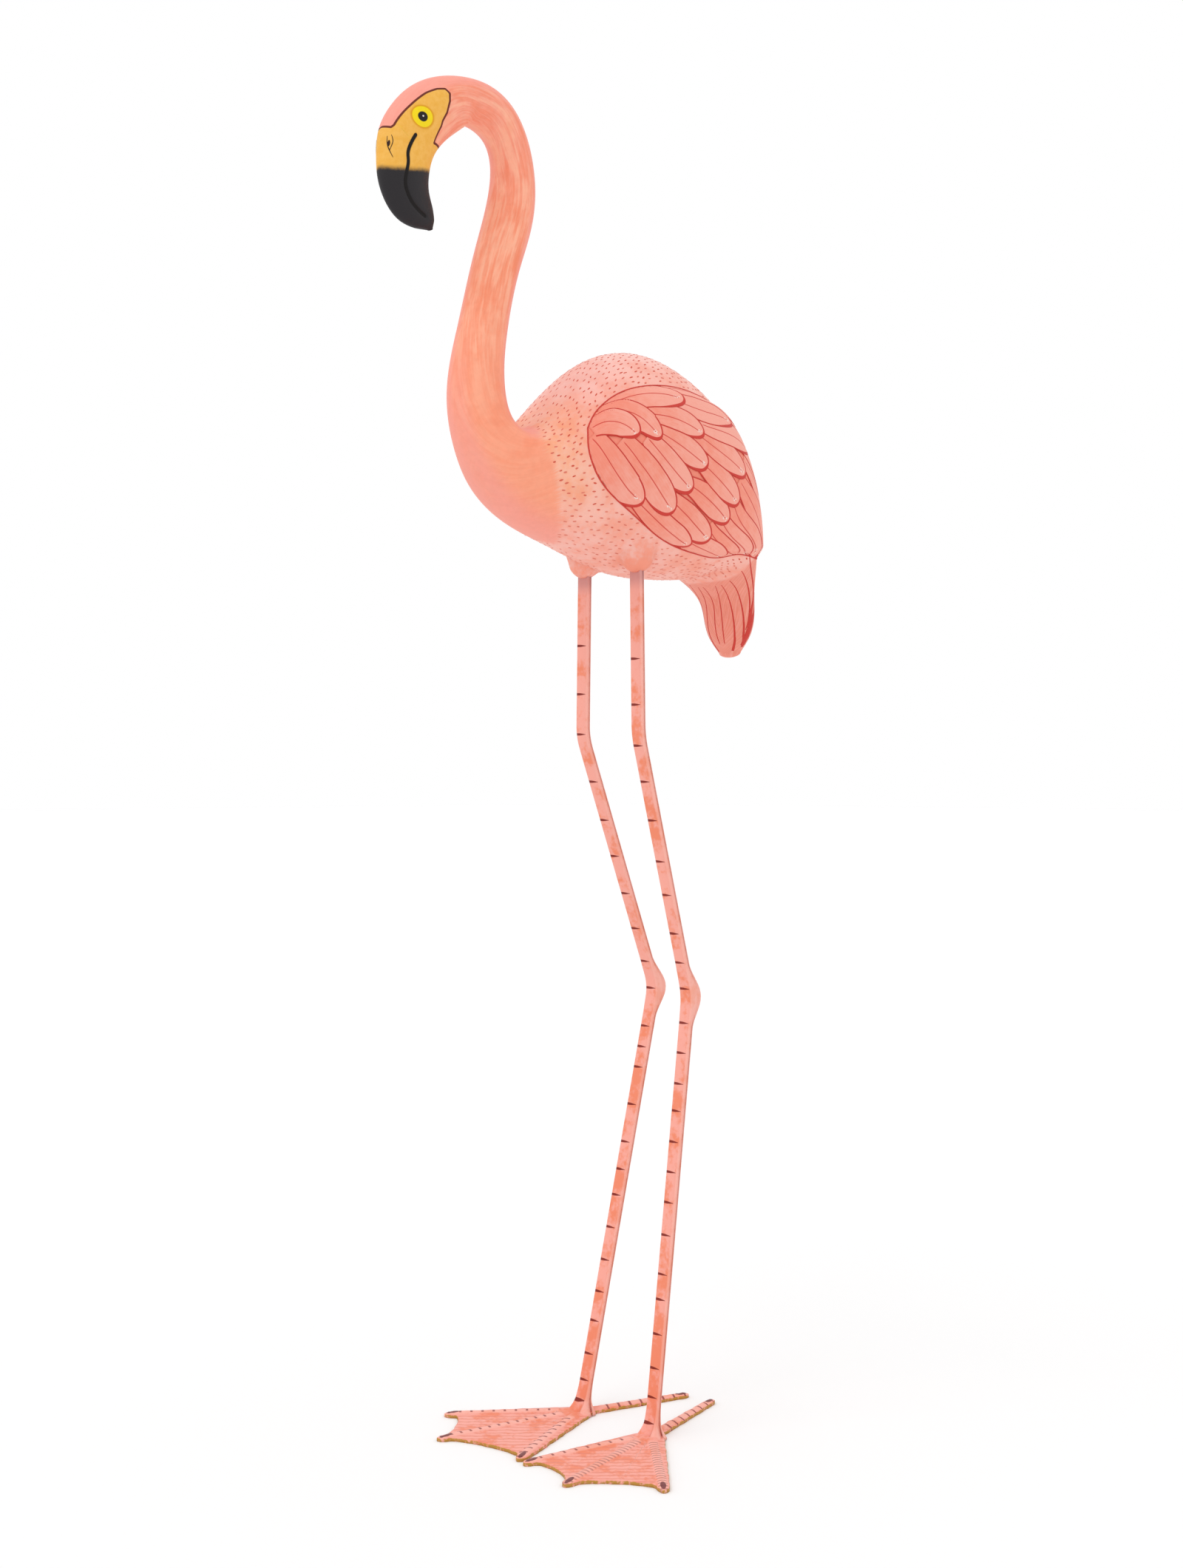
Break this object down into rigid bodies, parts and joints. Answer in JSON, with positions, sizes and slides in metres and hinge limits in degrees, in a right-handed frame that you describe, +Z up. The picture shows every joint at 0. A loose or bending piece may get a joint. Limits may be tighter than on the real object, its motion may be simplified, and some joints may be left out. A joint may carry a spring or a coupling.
{
  "type": "flamingo sculpture",
  "caption": "Standing flamingo garden sculpture: a painted bird with a curved neck and folded wings on two slender bar legs with flat webbed feet.",
  "frame": {"origin": "centre of the bounding box, on the floor under the feet", "axes": "+Z up, the bird faces -Y, its left side is towards +X"},
  "size_m": [0.302, 0.5008, 1.316],
  "materials": {
    "painted_papier_mache": "hand-painted, matt varnish",
    "painted_bar": "brush-painted, satin"
  },
  "bodies": {
    "root": {"body": "painted_papier_mache", "left_leg": "painted_bar", "right_leg": "painted_bar"}
  },
  "joints": []
}
